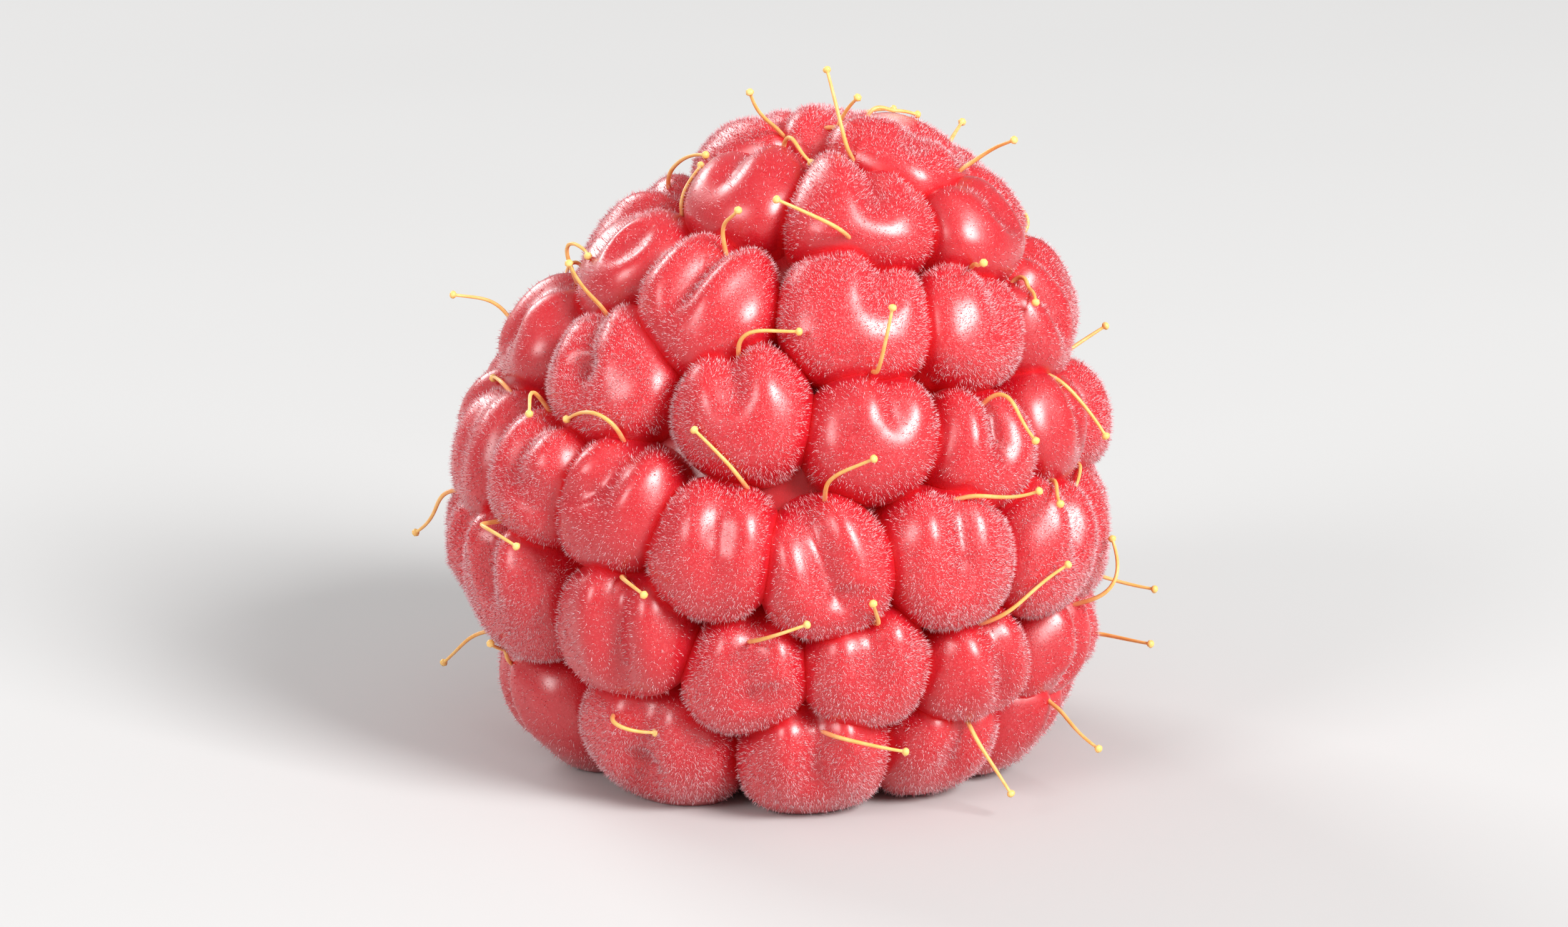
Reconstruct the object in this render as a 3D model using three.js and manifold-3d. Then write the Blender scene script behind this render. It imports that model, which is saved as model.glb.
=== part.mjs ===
// A ripe red raspberry as picked: one hollow fruit of many drupelets grown together.
// Millimetres, +Z up. It stands on its open end: the origin is on the surface that it stands on,
// at the middle of the fruit, +Z runs from the open end to the tip, and the tip leans towards +X.
import * as THREE from "three";
import { mergeVertices } from "three/addons/utils/BufferGeometryUtils.js";
import Module from "manifold-3d";

// The middles of the drupelets lie on an egg: its half width, and how it closes above and below.
const MIDDLE_RADIUS = 8.3;
const WAIST_HEIGHT = 8.0;
const TOP = { reach: 10.2, power: 1.3, roundness: 0.5 };
const BOTTOM = { reach: 8.1, power: 2, roundness: 0.3 };

// It grew a little crooked: above its first row the rows lean, and the axis bows to the same side.
const LEAN = THREE.MathUtils.degToRad(10);
const LEAN_RISE = 3.2; // height over which the lean comes in
const BOW = 0.8; // how far the axis stands to the side BOW_REACH above or below the waist
const BOW_REACH = 10;
const MIDDLE_SHIFT = 0.2; // which brings the middle of the whole fruit over the origin

// Rows of drupelets from the open end to the tip: the height of their middles before the lean, how
// many stand round, where the first one starts, in degrees, the seed of the row's draws, and how
// loosely they keep to the row. The first row is even, so that the fruit stands on several of them.
const ROWS = [
  { height: 2.4, count: 11, start: 113.7, seed: 359, loose: 0.3 },
  { height: 5.2, count: 14, start: 142.1, seed: 25, loose: 1 },
  { height: 8.6, count: 15, start: 32.8, seed: 603, loose: 1 },
  { height: 11.7, count: 12, start: 239.5, seed: 253, loose: 1 },
  { height: 14.5, count: 10, start: 325.7, seed: 392, loose: 1 },
  { height: 16.9, count: 6, start: 354, seed: 743, loose: 1 },
  { height: 18.0, count: 2, start: 60, seed: 17, loose: 0.5 },
];
const WIDTH_SPREAD = 0.22; // share by which the drupelets of a row differ in width
const HEIGHT_SPREAD = 0.4; // how far a drupelet leaves its row where the row is loose by 1
const BULGE_SPREAD = 0.2;

// One drupelet, about its own middle.
const BULGE = 2.15; // from the middle out to its crown
const GIRTH = 2.6; // its half width if nothing pressed on it
const SQUARENESS = 2.35; // 2 is an ellipsoid
const PRESS = 8; // how sharply a drupelet turns where the next one presses it
const BITE = 0.26; // how far it reaches into the next one, which fuses them
const PUSH = 2.2; // how far a wide drupelet pushes a narrow one aside
const LEAST_HALF = 0.4; // the least that is left of a drupelet on one side of its middle
const INNER_BULGE = 0.1; // how far it stands into the hollow
const NEIGHBOUR_REACH = 6.4;

// The hollow left by the plug that the fruit grew on, and the flesh under the drupelets.
const HOLLOW_RADIUS = 4.7;
const HOLLOW_DEPTH = 14;
const HOLLOW_POWER = 2.2;
const HOLLOW_ROUNDNESS = 0.6;
const CUT_BELOW_MOUTH = 2; // how far the hollow's cut starts below the fruit
const FLESH_BELOW_CROWNS = 1.25;
const FLESH_FROM = 1.8; // height at which the flesh starts

// Facets.
const SEGMENTS = 10;
const POLAR_STEPS = [28, 54, 78, 118]; // degrees from the crown
const LATHE_SEGMENTS = 24;
const LATHE_STEPS = 8;
const SLIVER = 0.05; // edges shorter than this are merged away
const WELD = 1e-4; // points closer than this are one point

const SLOPE_STEP = 0.02;
const INWARD_STEP = 0.05;
const UP = new THREE.Vector3(0, 0, 1);
const FIRST_ROW_HEIGHT = ROWS[0].height;
const radians = THREE.MathUtils.degToRad;

// A repeatable run of random numbers from -1 to 1.
function draws(seed) {
  let state = seed >>> 0;
  return () => {
    state = (Math.imul(state, 1664525) + 1013904223) >>> 0;
    return (state / 4294967296) * 2 - 1;
  };
}

function closing(share, power, roundness) {
  return Math.max(0, 1 - share ** power) ** roundness;
}

function eggRadius(z) {
  const end = z > WAIST_HEIGHT ? TOP : BOTTOM;
  const share = Math.abs(z - WAIST_HEIGHT) / end.reach;
  return MIDDLE_RADIUS * closing(share, end.power, end.roundness);
}

function hollowRadius(z) {
  return HOLLOW_RADIUS * closing(Math.max(0, z) / HOLLOW_DEPTH, HOLLOW_POWER, HOLLOW_ROUNDNESS);
}

// From the straight fruit to the crooked one: the rows lean about the waist, and the axis bows.
function bend(x, y, z) {
  const lean = LEAN * THREE.MathUtils.clamp((z - FIRST_ROW_HEIGHT) / LEAN_RISE, 0, 1);
  const rise = z - WAIST_HEIGHT;
  return new THREE.Vector3(
    x * Math.cos(lean) + rise * Math.sin(lean) + BOW * (rise / BOW_REACH) ** 2 + MIDDLE_SHIFT,
    y,
    WAIST_HEIGHT + rise * Math.cos(lean) - x * Math.sin(lean),
  );
}

// The egg's outward direction at a height, as its radial and upward parts.
function outwardAt(z) {
  const rising = eggRadius(z + SLOPE_STEP) - eggRadius(z - SLOPE_STEP);
  const slope = rising / (2 * SLOPE_STEP);
  const length = Math.hypot(1, slope);
  return { radial: 1 / length, rise: -slope / length };
}

function placeDrupelet(angle, z, size, bulge) {
  const { radial, rise } = outwardAt(z);
  const onEgg = (distance) => {
    const r = eggRadius(z) + distance * radial;
    return bend(r * Math.cos(angle), r * Math.sin(angle), z + distance * rise);
  };
  const middle = onEgg(0);
  const out = onEgg(1).sub(middle).normalize();
  const side = new THREE.Vector3().crossVectors(UP, out).normalize();
  const up = new THREE.Vector3().crossVectors(out, side);
  return { middle, out, side, up, size, bulge, deep: inwardReach(middle, out) };
}

function placeDrupelets() {
  const drupelets = [];
  for (const { height, count, start, seed, loose } of ROWS) {
    const draw = draws(seed);
    const sizes = Array.from({ length: count }, () => 1 + WIDTH_SPREAD * draw());
    const total = sizes.reduce((sum, size) => sum + size, 0);
    let reached = radians(start);
    for (const size of sizes) {
      const share = (2 * Math.PI * size) / total;
      const z = height + HEIGHT_SPREAD * loose * draw();
      const bulge = BULGE + BULGE_SPREAD * draw();
      drupelets.push(placeDrupelet(reached + share / 2, z, size, bulge));
      reached += share;
    }
  }
  return drupelets;
}

// How far a drupelet reaches from its middle to the hollow.
function inwardReach(middle, out) {
  const point = middle.clone();
  let gone = 0;
  while (gone < NEIGHBOUR_REACH) {
    const axis = bend(0, 0, point.z);
    if (Math.hypot(point.x - axis.x, point.y) < hollowRadius(point.z)) break;
    point.addScaledVector(out, -INWARD_STEP);
    gone += INWARD_STEP;
  }
  return gone + INNER_BULGE;
}

// The planes where the next drupelets press on one.
function pressingPlanes(one, all) {
  const near = all.filter(
    (other) => other !== one && other.middle.distanceTo(one.middle) < NEIGHBOUR_REACH,
  );
  return near.map((other) => {
    const way = other.middle.clone().sub(one.middle);
    const apart = way.length();
    const distance = apart / 2 + (PUSH * (one.size - other.size)) / apart + BITE;
    return { way: way.normalize(), distance: Math.max(LEAST_HALF, distance) };
  });
}

// How far the drupelet's skin is from its middle in a direction.
function skinAt(one, planes, direction) {
  const across = Math.hypot(direction.dot(one.side), direction.dot(one.up));
  const rise = direction.dot(one.out);
  const wide = across / (GIRTH * Math.sqrt(one.size));
  const high = Math.abs(rise) / (rise > 0 ? one.bulge : one.deep);
  let sum = (wide ** SQUARENESS + high ** SQUARENESS) ** (PRESS / SQUARENESS);
  for (const { way, distance } of planes) {
    sum += (Math.max(0, direction.dot(way)) / distance) ** PRESS;
  }
  return sum ** (-1 / PRESS);
}

// A closed mesh in rings about the crown of the drupelet.
function drupeletGeometry(one, all) {
  const planes = pressingPlanes(one, all);
  const positions = [];
  const point = (polar, round) => {
    const direction = one.out
      .clone()
      .multiplyScalar(Math.cos(polar))
      .addScaledVector(one.side, Math.sin(polar) * Math.cos(round))
      .addScaledVector(one.up, Math.sin(polar) * Math.sin(round));
    positions.push(...direction.multiplyScalar(skinAt(one, planes, direction)).add(one.middle));
  };
  point(0, 0);
  POLAR_STEPS.forEach((polar, ring) => {
    const halfStep = (ring % 2) / 2;
    for (let i = 0; i < SEGMENTS; i++) {
      point(radians(polar), (2 * Math.PI * (i + halfStep)) / SEGMENTS);
    }
  });
  point(Math.PI, 0);

  const index = [];
  const last = 1 + POLAR_STEPS.length * SEGMENTS;
  for (let i = 0; i < SEGMENTS; i++) {
    const next = (i + 1) % SEGMENTS;
    index.push(0, 1 + i, 1 + next);
    for (let ring = 0; ring < POLAR_STEPS.length - 1; ring++) {
      const here = 1 + ring * SEGMENTS;
      const beyond = here + SEGMENTS;
      const [a, b] = [here + i, here + next];
      const [c, d] = [beyond + i, beyond + next];
      if (ring % 2) index.push(a, c, d, a, d, b);
      else index.push(a, c, b, b, c, d);
    }
    index.push(last, last - SEGMENTS + next, last - SEGMENTS + i);
  }
  const geometry = new THREE.BufferGeometry();
  geometry.setAttribute("position", new THREE.Float32BufferAttribute(positions, 3));
  geometry.setIndex(index);
  return geometry;
}

// A turned solid from a profile that starts and ends on the axis, bent with the fruit.
function turned(profile) {
  const geometry = new THREE.LatheGeometry(
    profile.map(([r, z]) => new THREE.Vector2(r, z)),
    LATHE_SEGMENTS,
  ).rotateX(Math.PI / 2);
  const position = geometry.attributes.position;
  for (let i = 0; i < position.count; i++) {
    const bent = bend(position.getX(i), position.getY(i), position.getZ(i));
    position.setXYZ(i, bent.x, bent.y, bent.z);
  }
  return geometry;
}

// The flesh that joins the drupelets under their creases.
function fleshGeometry() {
  const outset = BULGE - FLESH_BELOW_CROWNS;
  const top = WAIST_HEIGHT + TOP.reach + outset;
  const profile = [[0, FLESH_FROM]];
  for (let i = 0; i <= LATHE_STEPS; i++) {
    const z = FLESH_FROM + (top - FLESH_FROM) * Math.sin((Math.PI / 2) * (i / LATHE_STEPS));
    profile.push([i === LATHE_STEPS ? 0 : eggRadius(z) + outset, z]);
  }
  return turned(profile);
}

// What the plug left: open below the fruit and closed near its tip.
function hollowGeometry() {
  const profile = [
    [0, -CUT_BELOW_MOUTH],
    [HOLLOW_RADIUS, -CUT_BELOW_MOUTH],
  ];
  for (let i = 0; i <= LATHE_STEPS; i++) {
    const z = HOLLOW_DEPTH * Math.sin((Math.PI / 2) * (i / LATHE_STEPS));
    profile.push([i === LATHE_STEPS ? 0 : hollowRadius(z), z]);
  }
  return turned(profile);
}

const wasm = await Module();
wasm.setup();

function solidOf(geometry) {
  const bare = geometry.index ? geometry.toNonIndexed() : geometry.clone();
  for (const name of ["normal", "uv"]) bare.deleteAttribute(name);
  const merged = mergeVertices(bare, WELD);
  const solid = new wasm.Manifold(
    new wasm.Mesh({
      numProp: 3,
      vertProperties: merged.attributes.position.array,
      triVerts: new Uint32Array(merged.index.array),
    }),
  );
  if (solid.volume() <= 0) throw new Error("a piece faces inwards");
  return solid;
}

function geometryOf(solid) {
  const { numProp, vertProperties, triVerts } = solid.getMesh();
  if (numProp !== 3) throw new Error("only positions are expected");
  const geometry = new THREE.BufferGeometry();
  geometry.setAttribute("position", new THREE.BufferAttribute(new Float32Array(vertProperties), 3));
  geometry.setIndex(new THREE.BufferAttribute(new Uint32Array(triVerts), 1));
  geometry.computeVertexNormals();
  return geometry;
}

function raspberry() {
  const all = placeDrupelets();
  let fruit = solidOf(fleshGeometry());
  for (const one of all) fruit = fruit.add(solidOf(drupeletGeometry(one, all)));
  fruit = fruit.subtract(solidOf(hollowGeometry()));
  fruit = fruit.trimByPlane([0, 0, 1], 0).simplify(SLIVER);
  const mesh = new THREE.Mesh(
    geometryOf(fruit),
    new THREE.MeshStandardMaterial({ color: 0xdc2a3c, roughness: 0.38, metalness: 0 }),
  );
  mesh.name = "raspberry";
  return mesh;
}

const group = new THREE.Group();
group.add(raspberry());

export default group;
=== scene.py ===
"""A ripe red raspberry, standing on its open end on a pale floor, in soft studio light.

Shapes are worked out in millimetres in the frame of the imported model, and go into Blender in
metres. The drupelets are placed by the same rule, from the same seeds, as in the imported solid.
A draw is written as its middle value and how far from it the draw may go. Colours are linear
red, green and blue.
"""
import math

import bmesh
import bpy
import numpy as np
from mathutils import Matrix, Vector

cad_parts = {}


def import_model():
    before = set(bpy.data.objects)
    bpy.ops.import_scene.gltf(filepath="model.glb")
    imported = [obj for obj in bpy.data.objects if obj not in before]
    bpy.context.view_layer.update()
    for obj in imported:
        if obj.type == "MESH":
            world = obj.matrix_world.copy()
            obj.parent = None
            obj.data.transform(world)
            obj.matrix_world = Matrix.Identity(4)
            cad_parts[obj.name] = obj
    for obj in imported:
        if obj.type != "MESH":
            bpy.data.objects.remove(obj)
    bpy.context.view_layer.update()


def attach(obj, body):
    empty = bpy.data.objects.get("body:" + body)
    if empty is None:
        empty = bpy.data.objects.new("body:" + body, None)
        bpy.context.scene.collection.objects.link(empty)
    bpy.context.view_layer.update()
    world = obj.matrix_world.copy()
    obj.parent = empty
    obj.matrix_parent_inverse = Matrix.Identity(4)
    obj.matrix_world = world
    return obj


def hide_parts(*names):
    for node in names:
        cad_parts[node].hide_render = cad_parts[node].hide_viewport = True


MM = 0.001

# The egg that the middles of the drupelets lie on.
MIDDLE_RADIUS = 8.3
WAIST_HEIGHT = 8.0
TOP = {"reach": 10.2, "power": 1.3, "roundness": 0.5}
BOTTOM = {"reach": 8.1, "power": 2, "roundness": 0.3}

# How it grew crooked: its lean, which sets in over a rise above the first row, its bow, and a
# shift that keeps it over the middle of the model.
LEAN = math.radians(10)
LEAN_RISE = 3.2
BOW = 0.8
BOW_REACH = 10
MIDDLE_SHIFT = 0.2

# Rows from the open end to the tip: height, how many drupelets, the angle in degrees at which the
# first starts, seed, and how loosely they keep to the height.
ROWS = [
    (2.4, 11, 113.7, 359, 0.3),
    (5.2, 14, 142.1, 25, 1),
    (8.6, 15, 32.8, 603, 1),
    (11.7, 12, 239.5, 253, 1),
    (14.5, 10, 325.7, 392, 1),
    (16.9, 6, 354, 743, 1),
    (18.0, 2, 60, 17, 0.5),
]
FIRST_ROW_HEIGHT = ROWS[0][0]

# How far one drupelet may differ from the next.
WIDTH_SPREAD = 0.22
HEIGHT_SPREAD = 0.4
BULGE_SPREAD = 0.2

# One drupelet, about its own middle. The face that a neighbour presses flat lies halfway between
# the two, and the bite further out. The push moves it towards the smaller of the two.
BULGE = 2.15
GIRTH = 2.9
SQUARENESS = 2.0
PRESS = 4
BITE = 0.5
PUSH = 2.2
LEAST_PRESSED_REACH = 0.4
NEIGHBOUR_REACH = 6.4
INTO_HOLLOW = 0.3

# The hollow, and the flesh that joins the drupelets.
HOLLOW_RADIUS = 4.7
HOLLOW_DEPTH = 14
HOLLOW_POWER = 2.2
HOLLOW_ROUNDNESS = 0.6
FLESH_BELOW_CROWNS = 2.2
FLESH_FROM = 1.8

# The usual numbers of a linear congruential generator.
DRAW_FACTOR = 1664525
DRAW_STEP = 1013904223
DRAW_RANGE = 2**32


def draws(seed):
    """A repeatable run of random numbers from -1 to 1."""
    state = seed
    while True:
        state = (state * DRAW_FACTOR + DRAW_STEP) % DRAW_RANGE
        yield state / DRAW_RANGE * 2 - 1


def vary(draw, about):
    """A draw about a middle value, at most the spread away from it."""
    middle, spread = about
    return middle + spread * next(draw)


def closing(share, power, roundness):
    """From 1 where the share is 0 down to 0 where it is 1."""
    return max(0.0, 1 - share**power) ** roundness


def egg_radius(z):
    end = TOP if z > WAIST_HEIGHT else BOTTOM
    share = abs(z - WAIST_HEIGHT) / end["reach"]
    return MIDDLE_RADIUS * closing(share, end["power"], end["roundness"])


def hollow_radius(z):
    return HOLLOW_RADIUS * closing(max(0, z) / HOLLOW_DEPTH, HOLLOW_POWER, HOLLOW_ROUNDNESS)


def bend(x, y, z):
    """From the straight fruit to the crooked one."""
    lean = LEAN * min(1, max(0, (z - FIRST_ROW_HEIGHT) / LEAN_RISE))
    rise = z - WAIST_HEIGHT
    bow = BOW * (rise / BOW_REACH) ** 2
    return np.array(
        [
            x * math.cos(lean) + rise * math.sin(lean) + bow + MIDDLE_SHIFT,
            y,
            WAIST_HEIGHT + rise * math.cos(lean) - x * math.sin(lean),
        ]
    )


def unit(v):
    return v / np.linalg.norm(v)


def in_turned_axes(x, y, angle):
    return x * math.cos(angle) + y * math.sin(angle), y * math.cos(angle) - x * math.sin(angle)


# Drupelets: where each sits, how its neighbours press it, and the marks on its crown.

LOOKS_SEED = 2024
SLOPE_STEP = 0.02
INWARD_STEP = 0.05

# Draws for each drupelet's own marks. The taper is a share, and turns are in radians.
TAPER = (0.14, 0.16)
FOLD_TURN = (0, 0.35)
FOLD_SHIFT = (0, 0.4)
FOLD_DEPTH = (0.33, 0.2)
FOLD_WIDTH = (0.52, 0.12)
FOLD_END = (-0.7, 0.8)
DENT_SIDE = (0, 1.0)
DENT_RISE = (0, 0.9)
DENT_DEPTH = (0, 0.3)
DENT_WIDTH = (0.6, 0.2)
ANY_TURN = (0, math.pi)

# What the marks of all drupelets have in common.
FOLD_FADE = 0.25
LIP_SHARE = 0.4
LIP_FROM_FOLD = 0.9
LIP_WIDTH = 0.5
DENT_STRETCH = 1.5
DENT_FLATNESS = 4
RELIEF_RISE = 2

# Ripples: height, and how fast each goes up and down to the side and towards the tip.
RIPPLES = [(0.035, 1.5, 1.3), (0.012, 3.1, 2.7)]


class Drupelet:
    """Where one drupelet sits, which way it faces, and how it is pressed and marked."""

    def __init__(self, angle, z, size, bulge):
        slope = (egg_radius(z + SLOPE_STEP) - egg_radius(z - SLOPE_STEP)) / (2 * SLOPE_STEP)
        radial, rise = unit(np.array([1, -slope]))

        def on_egg(distance):
            r = egg_radius(z) + distance * radial
            return bend(r * math.cos(angle), r * math.sin(angle), z + distance * rise)

        self.middle = on_egg(0)
        self.out = unit(on_egg(1) - self.middle)
        self.side = unit(np.cross([0, 0, 1], self.out))
        self.up = np.cross(self.out, self.side)
        self.size = size
        self.bulge = bulge
        self.girth = GIRTH * math.sqrt(size)
        self.deep = self.inward_reach()

    def inward_reach(self):
        """How far the drupelet goes in, to end just inside the hollow."""
        point = self.middle.copy()
        gone = 0
        while gone < NEIGHBOUR_REACH:
            axis = bend(0, 0, point[2])
            if math.hypot(point[0] - axis[0], point[1]) < hollow_radius(point[2]):
                break
            point = point - INWARD_STEP * self.out
            gone += INWARD_STEP
        return gone + INTO_HOLLOW

    def mark(self, draw):
        """Draws the fold, the dent and the ripples on its crown, and its tint."""
        self.taper = vary(draw, TAPER)
        self.fold_turn = vary(draw, FOLD_TURN)
        self.fold_shift = vary(draw, FOLD_SHIFT)
        self.fold_depth = vary(draw, FOLD_DEPTH)
        self.fold_width = vary(draw, FOLD_WIDTH)
        self.fold_end = vary(draw, FOLD_END)
        self.dent_at = (vary(draw, DENT_SIDE), vary(draw, DENT_RISE))
        self.dent_depth = max(0, vary(draw, DENT_DEPTH))
        self.dent_width = vary(draw, DENT_WIDTH)
        self.dent_turn = vary(draw, ANY_TURN)
        self.ripple_starts = [(vary(draw, ANY_TURN), vary(draw, ANY_TURN)) for _ in RIPPLES]
        self.tint = next(draw)

    def press_planes(self, everyone):
        """The planes that its neighbours press it against: which way, and how far."""
        planes = []
        for other in everyone:
            way = other.middle - self.middle
            apart = np.linalg.norm(way)
            if other is self or apart > NEIGHBOUR_REACH:
                continue
            distance = apart / 2 + PUSH * (self.size - other.size) / apart + BITE
            planes.append((way / apart, max(LEAST_PRESSED_REACH, distance)))
        return planes

    def skin(self, directions, planes):
        """How far the skin is from the middle in each direction."""
        sideways = directions @ self.side
        upward = directions @ self.up
        rise = directions @ self.out
        wide = np.hypot(sideways * (1 + self.taper * upward), upward) / self.girth
        high = np.abs(rise) / np.where(rise > 0, self.bulge, self.deep)
        total = (wide**SQUARENESS + high**SQUARENESS) ** (PRESS / SQUARENESS)
        for way, distance in planes:
            total += (np.maximum(0, directions @ way) / distance) ** PRESS
        reach = total ** (-1 / PRESS)
        on_crown = np.clip(rise * RELIEF_RISE, 0, 1)
        return reach + self.relief(sideways * reach, upward * reach) * on_crown

    def relief(self, u, v):
        """How high the low shapes on the crown stand, at u to the side and v towards the tip."""
        return self.fold(u, v) + self.dent(u, v) + self.ripple(u, v)

    def fold(self, u, v):
        """A groove between two low lips, fading out at its lower end."""
        across, along = in_turned_axes(u, v, self.fold_turn)
        across = across - self.fold_shift
        fade = 1 / (1 + np.exp((self.fold_end - along) / FOLD_FADE))
        groove = -np.exp(-((across / self.fold_width) ** 2))
        lips = LIP_SHARE * np.exp(-(((np.abs(across) - LIP_FROM_FOLD) / LIP_WIDTH) ** 2))
        return (groove + lips) * (self.fold_depth * fade)

    def dent(self, u, v):
        """A flat-bottomed dent, longer one way than the other."""
        u_at, v_at = self.dent_at
        long_way, short_way = in_turned_axes(u - u_at, v - v_at, self.dent_turn)
        away = np.hypot(long_way / DENT_STRETCH, short_way) / self.dent_width
        return -self.dent_depth * np.exp(-(away**DENT_FLATNESS))

    def ripple(self, u, v):
        total = 0
        for (height, across, along), (first, second) in zip(RIPPLES, self.ripple_starts):
            total = total + height * np.sin(across * u + first) * np.sin(along * v + second)
        return total


def place_drupelets():
    everyone = []
    for height, count, start, seed, loose in ROWS:
        draw = draws(seed)
        sizes = [vary(draw, (1, WIDTH_SPREAD)) for _ in range(count)]
        reached = math.radians(start)
        for size in sizes:
            share = 2 * math.pi * size / sum(sizes)
            z = vary(draw, (height, HEIGHT_SPREAD * loose))
            bulge = vary(draw, (BULGE, BULGE_SPREAD))
            everyone.append(Drupelet(reached + share / 2, z, size, bulge))
            reached += share
    marks = draws(LOOKS_SEED)
    for one in everyone:
        one.mark(marks)
    return everyone


# Meshes.


def new_object(name, points, faces, smooth=True):
    mesh = bpy.data.meshes.new(name)
    mesh.from_pydata([tuple(p) for p in np.asarray(points) * MM], [], faces)
    mesh.polygons.foreach_set("use_smooth", [smooth] * len(mesh.polygons))
    mesh.update()
    obj = bpy.data.objects.new(name, mesh)
    bpy.context.scene.collection.objects.link(obj)
    return obj


def mesh_points(mesh):
    """Where a mesh's points are, in millimetres."""
    points = np.empty(len(mesh.vertices) * 3)
    mesh.vertices.foreach_get("co", points)
    return points.reshape(-1, 3) / MM


def set_attribute(mesh, name, values):
    attribute = mesh.attributes.new(name, "FLOAT", "POINT")
    attribute.data.foreach_set("value", np.asarray(values, dtype=np.float32))


def read_attribute(mesh, name):
    values = np.empty(len(mesh.vertices), dtype=np.float32)
    mesh.attributes[name].data.foreach_get("value", values)
    return values


def ring_faces(rings, segments):
    """Faces of a closed mesh of rings between a first and a last point."""
    last = 1 + rings * segments
    faces = []
    for i in range(segments):
        after = (i + 1) % segments
        faces.append((0, 1 + i, 1 + after))
        for ring in range(rings - 1):
            here = 1 + ring * segments
            beyond = here + segments
            faces.append((here + i, beyond + i, beyond + after, here + after))
        faces.append((last, last - segments + after, last - segments + i))
    return faces


def inside_out(faces):
    return [tuple(reversed(face)) for face in faces]


# One drupelet's mesh: fine rings over its crown, coarse ones over its hidden root, in degrees.
DRUPELET_SEGMENTS = 44
CROWN_RINGS = np.arange(3, 90, 3.6)
ROOT_RINGS = [95, 108, 125, 150]
DRUPELET_RINGS = np.radians(np.concatenate([CROWN_RINGS, ROOT_RINGS]))


def drupelet_directions(one):
    rounds = np.linspace(0, 2 * math.pi, DRUPELET_SEGMENTS, endpoint=False)
    polar, around = np.meshgrid(DRUPELET_RINGS, rounds, indexing="ij")
    polar = np.concatenate([[0], polar.ravel(), [math.pi]])
    around = np.concatenate([[0], around.ravel(), [0]])
    return (
        np.cos(polar)[:, None] * one.out
        + (np.sin(polar) * np.cos(around))[:, None] * one.side
        + (np.sin(polar) * np.sin(around))[:, None] * one.up
    )


def drupelet_object(index, one, planes):
    directions = drupelet_directions(one)
    points = one.middle + directions * one.skin(directions, planes)[:, None]
    faces = ring_faces(len(DRUPELET_RINGS), DRUPELET_SEGMENTS)
    return new_object(f"drupelet_{index}", points, faces)


def turned_object(name, profile, segments, relief=None):
    """A shape turned from a profile that starts and ends on the axis, bent with the fruit."""
    points = [bend(0, 0, profile[0][1])]
    for radius, z in profile[1:-1]:
        for i in range(segments):
            a = 2 * math.pi * i / segments
            r = radius + (relief(a, z) if relief else 0)
            points.append(bend(r * math.cos(a), r * math.sin(a), z))
    points.append(bend(0, 0, profile[-1][1]))
    return new_object(name, np.array(points), inside_out(ring_faces(len(profile) - 2, segments)))


def heights_closing_up(low, high, steps):
    """Heights from low nearly to high, closer together towards the top."""
    return [low + (high - low) * math.sin(math.pi / 2 * i / steps) for i in range(steps)]


FLESH_RINGS = 24
FLESH_SEGMENTS = 48


def flesh_object():
    outset = BULGE - FLESH_BELOW_CROWNS
    top = WAIST_HEIGHT + TOP["reach"] + outset
    heights = heights_closing_up(FLESH_FROM, top, FLESH_RINGS)
    profile = [(0, FLESH_FROM)] + [(egg_radius(z) + outset, z) for z in heights] + [(0, top)]
    return turned_object("flesh", profile, FLESH_SEGMENTS)


HOLLOW_RINGS = 40
HOLLOW_SEGMENTS = 96
HOLLOW_FROM = -2
PADS_AROUND = 12
PAD_PITCH = 2.6
PAD_HEIGHT = 0.13


def hollow_relief(angle, z):
    """The low pads that the drupelets leave on the hollow's wall, in staggered rows."""
    fade = np.clip(z / PAD_PITCH, 0, 1) * np.clip((HOLLOW_DEPTH - z) / PAD_PITCH, 0, 1)
    return PAD_HEIGHT * math.cos(PADS_AROUND * angle) * math.cos(math.pi * z / PAD_PITCH) * fade


def hollow_object():
    heights = heights_closing_up(0, HOLLOW_DEPTH, HOLLOW_RINGS)
    profile = [(0, HOLLOW_FROM), (HOLLOW_RADIUS, HOLLOW_FROM)]
    profile += [(hollow_radius(z), z) for z in heights]
    profile.append((0, HOLLOW_DEPTH))
    return turned_object("hollow", profile, HOLLOW_SEGMENTS, hollow_relief)


CUTTER_HALF = 20


def floor_cutter():
    """A block that cuts the fruit off flat where it stands."""
    s = CUTTER_HALF
    corners = [(x, y, z) for x in (-s, s) for y in (-s, s) for z in (-s, 0)]
    faces = [(0, 1, 3, 2), (4, 6, 7, 5), (0, 4, 5, 1), (2, 3, 7, 6), (0, 2, 6, 4), (1, 5, 7, 3)]
    return new_object("below_floor", corners, faces, smooth=False)


def boolean(obj, others, operation):
    collection = bpy.data.collections.new("operands")
    for other in others:
        collection.objects.link(other)
    modifier = obj.modifiers.new("combine", "BOOLEAN")
    modifier.operation = operation
    modifier.solver = "MANIFOLD"
    modifier.operand_type = "COLLECTION"
    modifier.collection = collection
    graph = bpy.context.evaluated_depsgraph_get()
    mesh = bpy.data.meshes.new_from_object(obj.evaluated_get(graph))
    obj.modifiers.clear()
    obj.data = mesh
    for other in others:
        bpy.data.objects.remove(other)
    bpy.data.collections.remove(collection)


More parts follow.
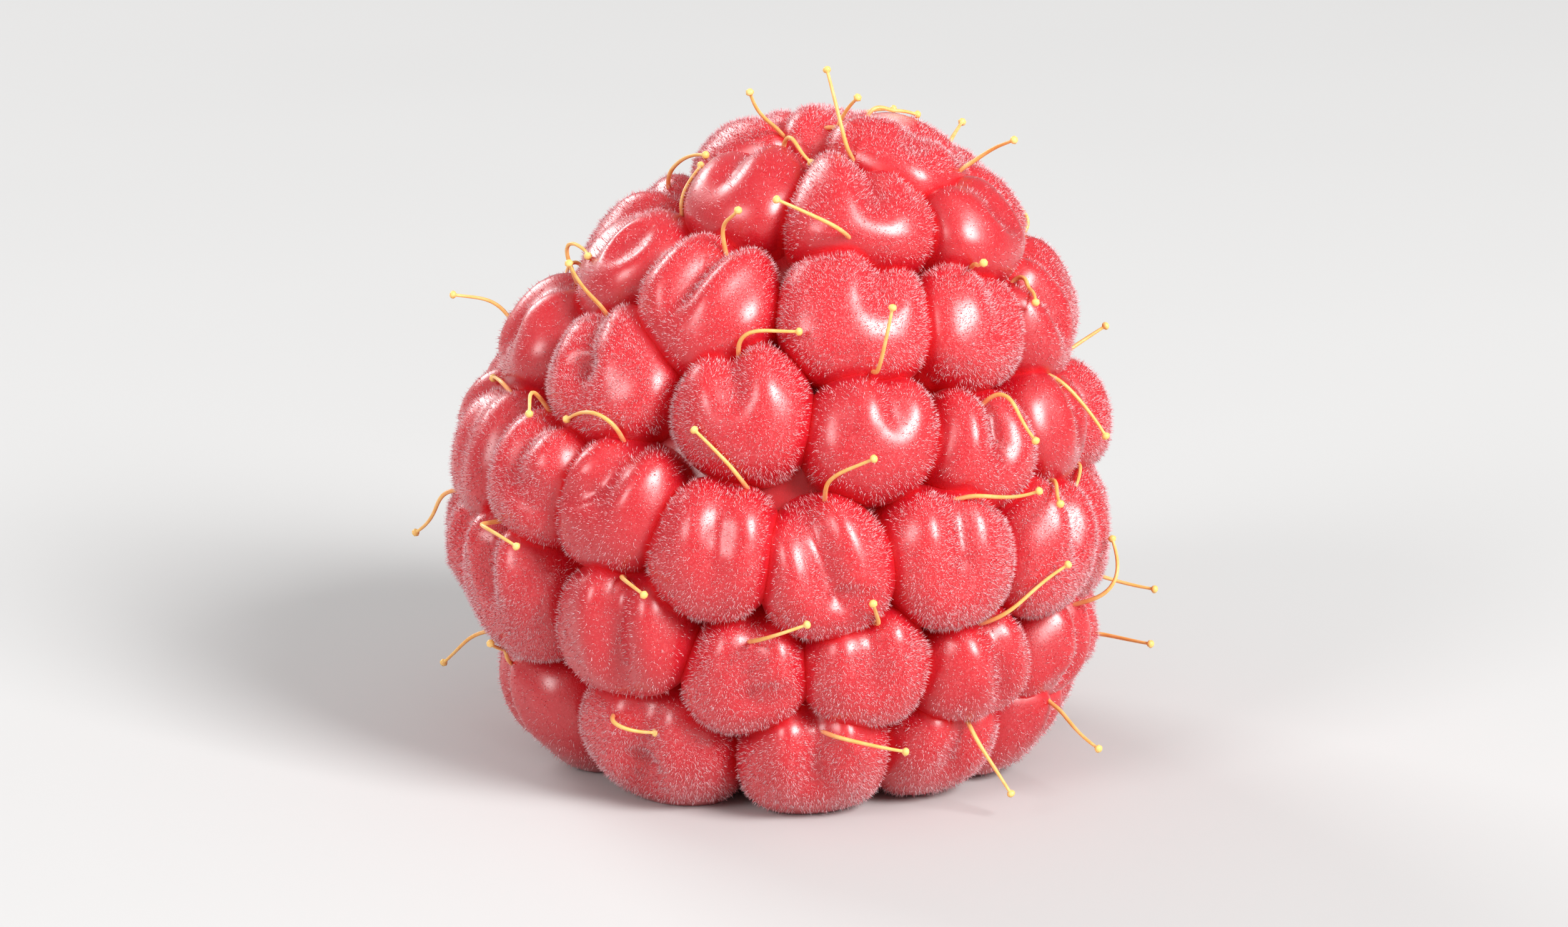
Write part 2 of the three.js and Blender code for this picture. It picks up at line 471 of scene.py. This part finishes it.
def keep_largest(obj):
    """Leaves out the closed pockets that the drupelets shut between them."""
    mesh = bmesh.new()
    mesh.from_mesh(obj.data)
    groups = []
    unseen = set(mesh.verts)
    while unseen:
        group = [unseen.pop()]
        for vert in group:
            for edge in vert.link_edges:
                other = edge.other_vert(vert)
                if other in unseen:
                    unseen.remove(other)
                    group.append(other)
        groups.append(group)
    groups.sort(key=len)
    pockets = [vert for group in groups[:-1] for vert in group]
    bmesh.ops.delete(mesh, geom=pockets, context="VERTS")
    mesh.to_mesh(obj.data)
    mesh.free()


def skin_of(everyone, planes, points):
    """For each point: the drupelet whose skin it is least outside of, by how much, and by how
    much it is outside the next one's. Inside a drupelet, that is below zero."""
    nearest = np.zeros(len(points), int)
    clearance = np.full(len(points), np.inf)
    following = np.full(len(points), np.inf)
    for index, one in enumerate(everyone):
        from_middle = points - one.middle
        apart = np.linalg.norm(from_middle, axis=1)
        close = np.nonzero(apart < NEIGHBOUR_REACH)[0]
        if len(close) == 0:
            continue
        directions = from_middle[close] / apart[close, None]
        outside = apart[close] - one.skin(directions, planes[index])
        following[close] = np.minimum(following[close], np.maximum(outside, clearance[close]))
        better = outside < clearance[close]
        nearest[close[better]] = index
        clearance[close[better]] = outside[better]
    return nearest, clearance, following


# What counts as on a drupelet's skin, and the widest gap that is told apart.
ON_SKIN = 0.05
WIDEST_GAP = 2

# The hollow's colour ends this far outside its wall, and fades over the blend before that.
HOLLOW_COLOUR_REACH = 0.9
HOLLOW_COLOUR_BLEND = 0.8


def paint_skin(mesh, everyone, planes):
    """Attributes that the skin's material and the fuzz read.

    gap: how far the skin stands clear of the next drupelet and of the flesh, 0 in a crease.
    tint: the drupelet's own shade, from -1 to 1.
    inside: 1 on the hollow's wall, 0 on the outside.
    """
    points = mesh_points(mesh)
    nearest, clearance, following = skin_of(everyone, planes, points)
    tints = np.array([one.tint for one in everyone])[nearest]
    axis = np.array([bend(0, 0, z) for z in points[:, 2]])
    from_axis = np.hypot(points[:, 0] - axis[:, 0], points[:, 1] - axis[:, 1])
    wall = np.array([hollow_radius(z) for z in points[:, 2]])
    inside = np.clip((wall + HOLLOW_COLOUR_REACH - from_axis) / HOLLOW_COLOUR_BLEND, 0, 1)
    middles = np.array([one.middle for one in everyone])[nearest]
    outs = np.array([one.out for one in everyone])[nearest]
    above_flesh = np.einsum("ij,ij->i", points - middles, outs) - (BULGE - FLESH_BELOW_CROWNS)
    clear = np.clip(np.minimum(following, above_flesh), 0, WIDEST_GAP)
    set_attribute(mesh, "gap", np.where(clearance > ON_SKIN, 0, clear))
    set_attribute(mesh, "tint", tints)
    set_attribute(mesh, "inside", inside)


SHARP_ANGLE = math.radians(48)


def fruit_object(everyone, planes):
    fruit = flesh_object()
    fruit.name = "drupelets"
    each = [drupelet_object(i, one, planes[i]) for i, one in enumerate(everyone)]
    boolean(fruit, each, "UNION")
    boolean(fruit, [hollow_object(), floor_cutter()], "DIFFERENCE")
    keep_largest(fruit)
    mesh = fruit.data
    mesh.name = "drupelets"
    mesh.polygons.foreach_set("use_smooth", [True] * len(mesh.polygons))
    mesh.set_sharp_from_angle(angle=SHARP_ANGLE)
    paint_skin(mesh, everyone, planes)
    return fruit


# Styles: the dry thread that each drupelet's flower part leaves.

STYLE_SEED = 77
STYLE_STEPS = 24
STYLE_SEGMENTS = 7
STYLE_RADIUS = 0.062
STYLE_CLEARANCE = 0.1
STYLE_SUNK = 0.25
STYLE_SMOOTHING = 3

# The thread is this many times its radius at its root, and that much less at its end.
ROOT_THICKNESS = 1.25
THINNING = 0.45

# The knob at its end: a stretched ball, with rings at these angles in degrees.
KNOB_RADIUS = 0.135
KNOB_MIDDLE = 0.85
KNOB_STRETCH = 0.8
KNOB_RINGS = [150, 125, 95, 60, 30]

# Draws for each thread: where it starts and heads, its length, its bend and its hook.
STYLE_AROUND = (0, 0.3)
STYLE_POLAR_DEGREES = (58, 10)
STYLE_LENGTH = (2.7, 0.8)
STYLE_SIDEWAYS = (0, 0.5)
BEND_DEGREES = (95, 55)
BEND_AT = (0.35, 0.3)
HOOK_DEGREES = (0, 45)

# What all threads have in common.
FOLD_FOLLOWING = 2
STYLE_TOWARDS_TIP = 0.7
BEND_WIDTH = 0.22
HOOK_FROM = 0.5
FREE_STEPS = 4

# The area under the bell that spreads the bend, so that its turns add up to the whole bend.
BEND_AREA = 0.39

# Any way that no thread starts along, to turn its rings from.
ANY_WAY = [0.3, 0.5, 0.81]


def style_root(one, draw, planes):
    """Where a thread leaves its drupelet, at the end of the fold towards the fruit's tip."""
    around = math.atan2(one.fold_shift, FOLD_FOLLOWING) + vary(draw, STYLE_AROUND)
    polar = math.radians(vary(draw, STYLE_POLAR_DEGREES))
    direction = math.cos(polar) * one.out + math.sin(polar) * (
        math.cos(around) * one.up + math.sin(around) * one.side
    )
    return one.middle + direction * one.skin(direction[None, :], planes)[0]


def style_turns(draw):
    """How much a thread turns at each step: a bend on its way, and a hook in its second half."""
    whole_bend = math.radians(vary(draw, BEND_DEGREES))
    bend_at = vary(draw, BEND_AT)
    hook = math.radians(vary(draw, HOOK_DEGREES))
    turns = []
    for i in range(STYLE_STEPS):
        share = i / STYLE_STEPS
        bell = math.exp(-(((share - bend_at) / BEND_WIDTH) ** 2))
        bend_now = whole_bend * bell / (BEND_AREA * STYLE_STEPS)
        hook_now = hook * (2 * share if share > HOOK_FROM else 0) / STYLE_STEPS
        turns.append(bend_now + hook_now)
    return turns


def kept_clear(point, before, heading, everyone, planes):
    """The point and the heading, moved off the fruit and the floor where they run into them."""
    nearest, outside, _ = skin_of(everyone, planes, point[None, :])
    if outside[0] < STYLE_CLEARANCE:
        away = unit(point - everyone[nearest[0]].middle)
        point = point + away * (STYLE_CLEARANCE - outside[0])
        heading = unit(point - before)
    point[2] = max(point[2], STYLE_CLEARANCE)
    return point, heading


def smooth_path(path, times):
    for _ in range(times):
        path[2:-1] = (path[1:-2] + 2 * path[2:-1] + path[3:]) / 4
    return path


def style_path(index, draw, everyone, planes):
    """A thread from the tip side of a drupelet, bending as it dries and resting on the fruit."""
    one = everyone[index]
    root = style_root(one, draw, planes[index])
    step = vary(draw, STYLE_LENGTH) / STYLE_STEPS
    swing = vary(draw, ANY_TURN)
    sideways = vary(draw, STYLE_SIDEWAYS) * one.side
    heading = unit(one.out + STYLE_TOWARDS_TIP * one.up + sideways)
    across = unit(np.cross(heading, one.out * math.cos(swing) + one.side * math.sin(swing)))
    points = [root - STYLE_SUNK * heading]
    for i, turn in enumerate(style_turns(draw)):
        heading = unit(heading * math.cos(turn) + np.cross(across, heading) * math.sin(turn))
        point = points[-1] + heading * step
        if i >= FREE_STEPS:
            point, heading = kept_clear(point, points[-1], heading, everyone, planes)
        points.append(point)
    return smooth_path(np.array(points), STYLE_SMOOTHING)


def thread_rings(path):
    """Rings round a path and round the knob at its end: middle, way, radius and share along."""
    ways = np.gradient(path, axis=0)
    ways /= np.linalg.norm(ways, axis=1)[:, None]
    rings = []
    for i, (middle, way) in enumerate(zip(path, ways)):
        share = i / (len(path) - 1)
        rings.append((middle, way, STYLE_RADIUS * (ROOT_THICKNESS - THINNING * share), share))
    end, way = path[-1], ways[-1]
    for polar in np.radians(KNOB_RINGS):
        middle = end + way * KNOB_RADIUS * (KNOB_MIDDLE + KNOB_STRETCH * math.cos(polar))
        rings.append((middle, way, KNOB_RADIUS * math.sin(polar), 1))
    return rings


def thread_points(path):
    """The points of a thread from its first to its last, and each one's share along."""
    rings = thread_rings(path)
    side = unit(np.cross(rings[0][1], ANY_WAY))
    points = [path[0]]
    shares = [0]
    for middle, way, radius, share in rings:
        side = unit(side - way * (side @ way))
        other = np.cross(way, side)
        for k in range(STYLE_SEGMENTS):
            a = 2 * math.pi * k / STYLE_SEGMENTS
            points.append(middle + radius * (math.cos(a) * side + math.sin(a) * other))
            shares.append(share)
    points.append(path[-1] + rings[-1][1] * KNOB_RADIUS * (KNOB_MIDDLE + KNOB_STRETCH))
    shares.append(1)
    return points, shares


def styles_object(everyone, planes):
    draw = draws(STYLE_SEED)
    points, faces, shares = [], [], []
    for index in range(len(everyone)):
        thread, along = thread_points(style_path(index, draw, everyone, planes))
        thread_faces = inside_out(ring_faces((len(thread) - 2) // STYLE_SEGMENTS, STYLE_SEGMENTS))
        faces += [tuple(len(points) + v for v in face) for face in thread_faces]
        points += thread
        shares += along
    styles = new_object("styles", points, faces)
    set_attribute(styles.data, "along", shares)
    return styles


# Fuzz: the short pale hairs on the skin, in bands of height so that no piece grows too heavy.

FUZZ_SEED = 5
FUZZ_HEIGHTS = (0.15, 5.2, 9.4, 13.6, 30)
FUZZ_COUNT = 47000
FUZZ_RADIUS = 0.0115
FUZZ_SUNK = 0.02
FUZZ_LEAN = 0.42
FUZZ_INSIDE_LIMIT = 0.2
FUZZ_BY_TINT = 0.85
PALE_POWER = 0.9
LEAST_DOUBLE_AREA = 1e-9

# Ranges: how long the hairs are, and the gaps at which they start and at which they are densest.
FUZZ_LENGTH = (0.04, 0.17)
FUZZ_GAP = (0.08, 0.4)

# A hair: three feet a third of a turn apart, and a tip.
FOOT_TURNS = (0, 2 * math.pi / 3, 4 * math.pi / 3)
HAIR_FACES = [(0, 2, 1), (0, 1, 3), (1, 2, 3), (2, 0, 3)]
HAIR_POINTS = 4


def unit_rows(rows):
    return rows / np.linalg.norm(rows, axis=1)[:, None]


def skin_triangles(mesh):
    """The points of each triangle of a mesh, by number."""
    mesh.calc_loop_triangles()
    corners = np.empty(len(mesh.loop_triangles) * 3, int)
    mesh.loop_triangles.foreach_get("vertices", corners)
    return corners.reshape(-1, 3)


def hair_chances(mesh, corners, heights, areas, band):
    """How likely a hair is to grow on each triangle, among those in a band of height."""
    inside = read_attribute(mesh, "inside")[corners].max(axis=1)
    gap = read_attribute(mesh, "gap")[corners].min(axis=1)
    tint = read_attribute(mesh, "tint")[corners[:, 0]]
    low, high = band
    grows = (inside < FUZZ_INSIDE_LIMIT) & (heights > low) & (heights <= high)
    bare, full = FUZZ_GAP
    cover = np.clip((gap - bare) / (full - bare), 0, 1)
    chances = areas * grows * cover * (1 + FUZZ_BY_TINT * tint)
    return chances / chances.sum()


def places_on(triangles, random):
    """A random place on each triangle."""
    a, b = random.random((2, len(triangles), 1))
    over = (a + b) > 1
    a, b = np.where(over, 1 - a, a), np.where(over, 1 - b, b)
    first, second, third = triangles.transpose(1, 0, 2)
    return first + a * (second - first) + b * (third - first)


def hairs(roots, normals, random):
    """The points of a thin leaning spike on each root, its three feet sunk in the skin."""
    heading = unit_rows(normals + FUZZ_LEAN * random.uniform(-1, 1, (FUZZ_COUNT, 3)))
    length = random.uniform(*FUZZ_LENGTH, (FUZZ_COUNT, 1))
    side = unit_rows(np.cross(heading, random.uniform(-1, 1, (FUZZ_COUNT, 3))))
    other = np.cross(heading, side)
    base = roots - FUZZ_SUNK * heading
    feet = [
        base + FUZZ_RADIUS * (math.cos(turn) * side + math.sin(turn) * other)
        for turn in FOOT_TURNS
    ]
    return np.stack(feet + [roots + heading * length], axis=1).reshape(-1, 3)


def fuzz_object(name, band, fruit, random):
    mesh = fruit.data
    corners = skin_triangles(mesh)
    triangles = mesh_points(mesh)[corners]
    normals = np.cross(triangles[:, 1] - triangles[:, 0], triangles[:, 2] - triangles[:, 0])
    double_areas = np.linalg.norm(normals, axis=1)
    normals /= np.maximum(double_areas, LEAST_DOUBLE_AREA)[:, None]
    chances = hair_chances(mesh, corners, triangles[:, :, 2].min(axis=1), double_areas, band)
    picked = random.choice(len(corners), FUZZ_COUNT, p=chances)
    roots = places_on(triangles[picked], random)
    points = hairs(roots, normals[picked], random)
    first_points = np.arange(FUZZ_COUNT)[:, None, None] * HAIR_POINTS
    faces = (first_points + np.array(HAIR_FACES)[None]).reshape(-1, 3)
    fuzz = new_object(name, points, faces.tolist())
    pale = random.random(FUZZ_COUNT) ** PALE_POWER
    set_attribute(fuzz.data, "pale", np.repeat(pale, HAIR_POINTS))
    return fuzz


# Materials.

# The sockets of a Mix node that mixes colours: its factor, first and second colour, and result.
MIX_INPUTS = (0, 6, 7)
MIX_OUTPUT = 2

# Ranges that run all the way, up or down.
WHOLE = (0, 1)
WHOLE_FALLING = (1, 0)


def new_material(name):
    material = bpy.data.materials.new(name)
    material.use_nodes = True
    tree = material.node_tree
    shader = tree.nodes["Principled BSDF"]
    return material, tree, shader


def set_sockets(node, values):
    for name, value in values.items():
        node.inputs[name].default_value = value


def feed(tree, socket, value):
    """Links another node's output to a socket, or sets the socket to a colour or a number."""
    if isinstance(value, bpy.types.NodeSocket):
        tree.links.new(value, socket)
    elif isinstance(value, tuple):
        socket.default_value = (*value, 1)
    else:
        socket.default_value = value


def add(tree, kind, **settings):
    node = tree.nodes.new(kind)
    for key, value in settings.items():
        setattr(node, key, value)
    return node


def attribute(tree, name):
    return add(tree, "ShaderNodeAttribute", attribute_name=name).outputs["Fac"]


def mapped(tree, value, before, after=WHOLE):
    """The value moved from one range to another, and kept within it."""
    node = add(tree, "ShaderNodeMapRange", clamp=True)
    tree.links.new(value, node.inputs["Value"])
    set_sockets(node, {"From Min": before[0], "From Max": before[1]})
    set_sockets(node, {"To Min": after[0], "To Max": after[1]})
    return node.outputs["Result"]


def mixed(tree, factor, first, second):
    node = add(tree, "ShaderNodeMix", data_type="RGBA")
    for index, value in zip(MIX_INPUTS, (factor, first, second)):
        feed(tree, node.inputs[index], value)
    return node.outputs[MIX_OUTPUT]


def calculated(tree, operation, first, second):
    node = add(tree, "ShaderNodeMath", operation=operation)
    feed(tree, node.inputs[0], first)
    feed(tree, node.inputs[1], second)
    return node.outputs[0]


def noise(tree, per_mm, detail, roughness=0.5):
    place = add(tree, "ShaderNodeTexCoord").outputs["Object"]
    node = add(tree, "ShaderNodeTexNoise")
    tree.links.new(place, node.inputs["Vector"])
    set_sockets(node, {"Scale": per_mm / MM, "Detail": detail, "Roughness": roughness})
    return node.outputs["Fac"]


def bumped(tree, shader, height, distance):
    node = add(tree, "ShaderNodeBump")
    tree.links.new(height, node.inputs["Height"])
    node.inputs["Distance"].default_value = distance * MM
    tree.links.new(node.outputs["Normal"], shader.inputs["Normal"])


# Noises: how fine, in waves a millimetre, how many finer layers, and how strong those are.
PATCH_NOISE = (0.45, 3)
COARSE_SPECK_NOISE = (8, 2, 0.6)
FINE_SPECK_NOISE = (15, 1)
GLOSS_NOISE = (5, 2)
GRAIN_NOISE = (12, 2, 0.7)
HOLLOW_NOISE = (0.8, 3)
STYLE_NOISE = (3, 2)
FLOOR_NOISE = (0.02, 2)

# Painted light in the creases: a plain saturated red, a little brighter than the crowns' red and
# without pale specks, for the red glow of light through the fruit that lifts the shade there.
CREASE_GLOW_RED = (0.67, 0.003, 0.010)
DARK_RIPE_RED = (0.42, 0.001, 0.008)
RIPE_RED = (0.56, 0.002, 0.012)
BRIGHT_RED = (0.64, 0.004, 0.014)
BLOOM_PINK = (1.0, 0.36, 0.38)
HOLLOW_PINK = (0.86, 0.30, 0.29)
HOLLOW_PALE = (0.92, 0.55, 0.50)

# Ranges that the skin's material maps from or to, each from its first end to its second.
FULL_TINT = (-1, 1)
CREASE_GAP = (0.05, 0.2)
CROWN_GAP = (0.1, 0.6)
MIDDLE_NOISE = (0.35, 0.65)
COARSE_SPECKS = (0.57, 0.66)
FINE_SPECKS = (0.58, 0.68)
DARKNESS_BY_TINT = (0.6, 0)
HAZE_BY_TINT = (0.04, 0.18)
CROWN_ROUGHNESS = (0.33, 0.43)

# How much rougher than a crown a crease is, and how deep the grain of the skin is.
CREASE_ROUGHNESS = 0.4
GRAIN_DEPTH = 0.03

SKIN = {
    "IOR": 1.5,
    "Specular IOR Level": 0.25,
    "Subsurface Weight": 0.6,
    "Subsurface Radius": (1.0, 0.1, 0.08),
    "Subsurface Scale": 2.5 * MM,
    "Sheen Weight": 0.06,
    "Sheen Roughness": 0.18,
    "Sheen Tint": (1.0, 0.7, 0.7, 1),
    "Coat Weight": 1.0,
    "Coat Roughness": 0.30,
    "Coat IOR": 1.6,
}


def ripe_colour(tree, tint, crown):
    """Patchy red, darker where the tint is low, with a haze of pale specks on the crowns."""
    patches = mapped(tree, noise(tree, *PATCH_NOISE), MIDDLE_NOISE)
    ripe = mixed(tree, patches, RIPE_RED, BRIGHT_RED)
    ripe = mixed(tree, mapped(tree, tint, WHOLE, DARKNESS_BY_TINT), ripe, DARK_RIPE_RED)
    haze = calculated(tree, "MULTIPLY", mapped(tree, tint, WHOLE, HAZE_BY_TINT), crown)
    for its_noise, specks in ((COARSE_SPECK_NOISE, COARSE_SPECKS), (FINE_SPECK_NOISE, FINE_SPECKS)):
        speck = mapped(tree, noise(tree, *its_noise), specks)
        ripe = mixed(tree, calculated(tree, "MULTIPLY", speck, haze), ripe, BLOOM_PINK)
    return ripe


def skin_material():
    material, tree, shader = new_material("raspberry_skin")
    tint = mapped(tree, attribute(tree, "tint"), FULL_TINT)
    gap = attribute(tree, "gap")
    crease = mapped(tree, gap, CREASE_GAP, WHOLE_FALLING)
    crown = mapped(tree, gap, CROWN_GAP)
    # The creases are painted the brighter plain red: painted light, for the glow through the fruit
    # in their shade.
    outside = mixed(tree, crease, ripe_colour(tree, tint, crown), CREASE_GLOW_RED)
    pale = mapped(tree, noise(tree, *HOLLOW_NOISE), MIDDLE_NOISE)
    hollow = mixed(tree, pale, HOLLOW_PINK, HOLLOW_PALE)
    colour = mixed(tree, attribute(tree, "inside"), outside, hollow)
    tree.links.new(colour, shader.inputs["Base Color"])
    rough = mapped(tree, noise(tree, *GLOSS_NOISE), MIDDLE_NOISE, CROWN_ROUGHNESS)
    rougher = calculated(tree, "MULTIPLY", crease, CREASE_ROUGHNESS)
    tree.links.new(calculated(tree, "ADD", rough, rougher), shader.inputs["Roughness"])
    set_sockets(shader, SKIN)
    bumped(tree, shader, noise(tree, *GRAIN_NOISE), GRAIN_DEPTH)
    return material


STYLE_ROOT_RED = (0.75, 0.16, 0.10)
STYLE_AMBER = (0.86, 0.44, 0.12)
KNOB_YELLOW = (0.90, 0.55, 0.16)
STYLE_STREAK = (0.95, 0.66, 0.30)

# Ranges: shares of the thread's length, and the noise that makes streaks.
RED_ROOT = (0.0, 0.35)
KNOB_SHARE = (0.92, 1.0)
STREAK_NOISE = (0.4, 0.7)
STREAKS = (0, 0.4)

DRY_THREAD = {
    "Roughness": 0.42,
    "Subsurface Weight": 0.3,
    "Subsurface Radius": (0.6, 0.3, 0.1),
    "Subsurface Scale": 0.1 * MM,
}


def style_material():
    material, tree, shader = new_material("dry_style")
    along = attribute(tree, "along")
    colour = mixed(tree, mapped(tree, along, RED_ROOT), STYLE_ROOT_RED, STYLE_AMBER)
    colour = mixed(tree, mapped(tree, along, KNOB_SHARE), colour, KNOB_YELLOW)
    streaks = mapped(tree, noise(tree, *STYLE_NOISE), STREAK_NOISE, STREAKS)
    colour = mixed(tree, streaks, colour, STYLE_STREAK)
    tree.links.new(colour, shader.inputs["Base Color"])
    set_sockets(shader, DRY_THREAD)
    return material


# Painted light on the hairs: their red end stands in for the red light that the skin shines onto
# and through them. How pale each hair is, is drawn at random.
FUZZ_SKIN_LIT_RED = (0.68, 0.03, 0.05)
FUZZ_PALE = (0.88, 0.70, 0.73)
FUZZ_ROUGHNESS = 0.5


def fuzz_material():
    material, tree, shader = new_material("fuzz_hair")
    # Each hair is painted between the skin's red light and its own pale, by its random share.
    colour = mixed(tree, attribute(tree, "pale"), FUZZ_SKIN_LIT_RED, FUZZ_PALE)
    tree.links.new(colour, shader.inputs["Base Color"])
    shader.inputs["Roughness"].default_value = FUZZ_ROUGHNESS
    return material


FLOOR_GREY = (0.53, 0.526, 0.522)
FLOOR_PALER_GREY = (0.56, 0.556, 0.552)
FLOOR = {"Roughness": 0.8, "Specular IOR Level": 0.2}


def floor_material():
    material, tree, shader = new_material("pale_floor")
    colour = mixed(tree, noise(tree, *FLOOR_NOISE), FLOOR_GREY, FLOOR_PALER_GREY)
    tree.links.new(colour, shader.inputs["Base Color"])
    set_sockets(shader, FLOOR)
    return material


def dress(obj, material):
    obj.data.materials.clear()
    obj.data.materials.append(material)
    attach(obj, "root")


# Camera, lights and floor.

CAMERA_ELEVATION = math.radians(15)
CAMERA_DISTANCE = 165
CAMERA_LENS = 122
CAMERA_CLIP_START = 5
AIM = (0.2, 0, 9.0)

# Square soft lights: azimuth and elevation in degrees, distance, side, and power in watts.
# Azimuth 0 is at the camera's side, and grows to the right.
LIGHTS = {
    "key": (46, 34, 640, 250, 5.8),
    "fill": (-44, 28, 720, 250, 2.1),
    "rim": (-140, 28, 720, 320, 2.8),
    "top": (10, 78, 680, 480, 0.3),
}
STUDIO_STRENGTH = 0.4
FLOOR_HALF = 4000


def towards(obj, target):
    way = Vector(target) - obj.location
    obj.rotation_euler = way.to_track_quat("-Z", "Y").to_euler()


def add_camera():
    camera = bpy.data.objects.new("camera", bpy.data.cameras.new("camera"))
    aim = Vector(AIM) * MM
    back = Vector((0, -math.cos(CAMERA_ELEVATION), math.sin(CAMERA_ELEVATION)))
    camera.location = aim + back * CAMERA_DISTANCE * MM
    towards(camera, aim)
    camera.data.lens = CAMERA_LENS
    camera.data.clip_start = CAMERA_CLIP_START * MM
    bpy.context.scene.collection.objects.link(camera)
    bpy.context.scene.camera = camera


def add_light(name, azimuth, elevation, distance, side, power):
    light = bpy.data.lights.new(name, "AREA")
    light.size = side * MM
    light.energy = power
    obj = bpy.data.objects.new(name, light)
    a, e = math.radians(azimuth), math.radians(elevation)
    way = Vector((math.sin(a) * math.cos(e), -math.cos(a) * math.cos(e), math.sin(e)))
    obj.location = (Vector(AIM) + way * distance) * MM
    towards(obj, Vector(AIM) * MM)
    bpy.context.scene.collection.objects.link(obj)


def add_world():
    world = bpy.data.worlds.new("studio")
    world.use_nodes = True
    background = world.node_tree.nodes["Background"]
    set_sockets(background, {"Color": (1, 1, 1, 1), "Strength": STUDIO_STRENGTH})
    bpy.context.scene.world = world


def add_floor():
    s = FLOOR_HALF
    floor = new_object("floor", [(-s, -s, 0), (s, -s, 0), (s, s, 0), (-s, s, 0)], [(0, 1, 2, 3)])
    floor.data.materials.append(floor_material())


def main():
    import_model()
    everyone = place_drupelets()
    planes = [one.press_planes(everyone) for one in everyone]
    fruit = fruit_object(everyone, planes)
    dress(fruit, skin_material())
    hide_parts("raspberry")
    styles = styles_object(everyone, planes)
    dress(styles, style_material())
    fuzz_look = fuzz_material()
    random = np.random.default_rng(FUZZ_SEED)
    for index, band in enumerate(zip(FUZZ_HEIGHTS, FUZZ_HEIGHTS[1:]), 1):
        dress(fuzz_object(f"fuzz_{index}", band, fruit, random), fuzz_look)
    add_camera()
    for name, settings in LIGHTS.items():
        add_light(name, *settings)
    add_world()
    add_floor()
    bpy.context.scene.view_settings.view_transform = "Standard"


main()
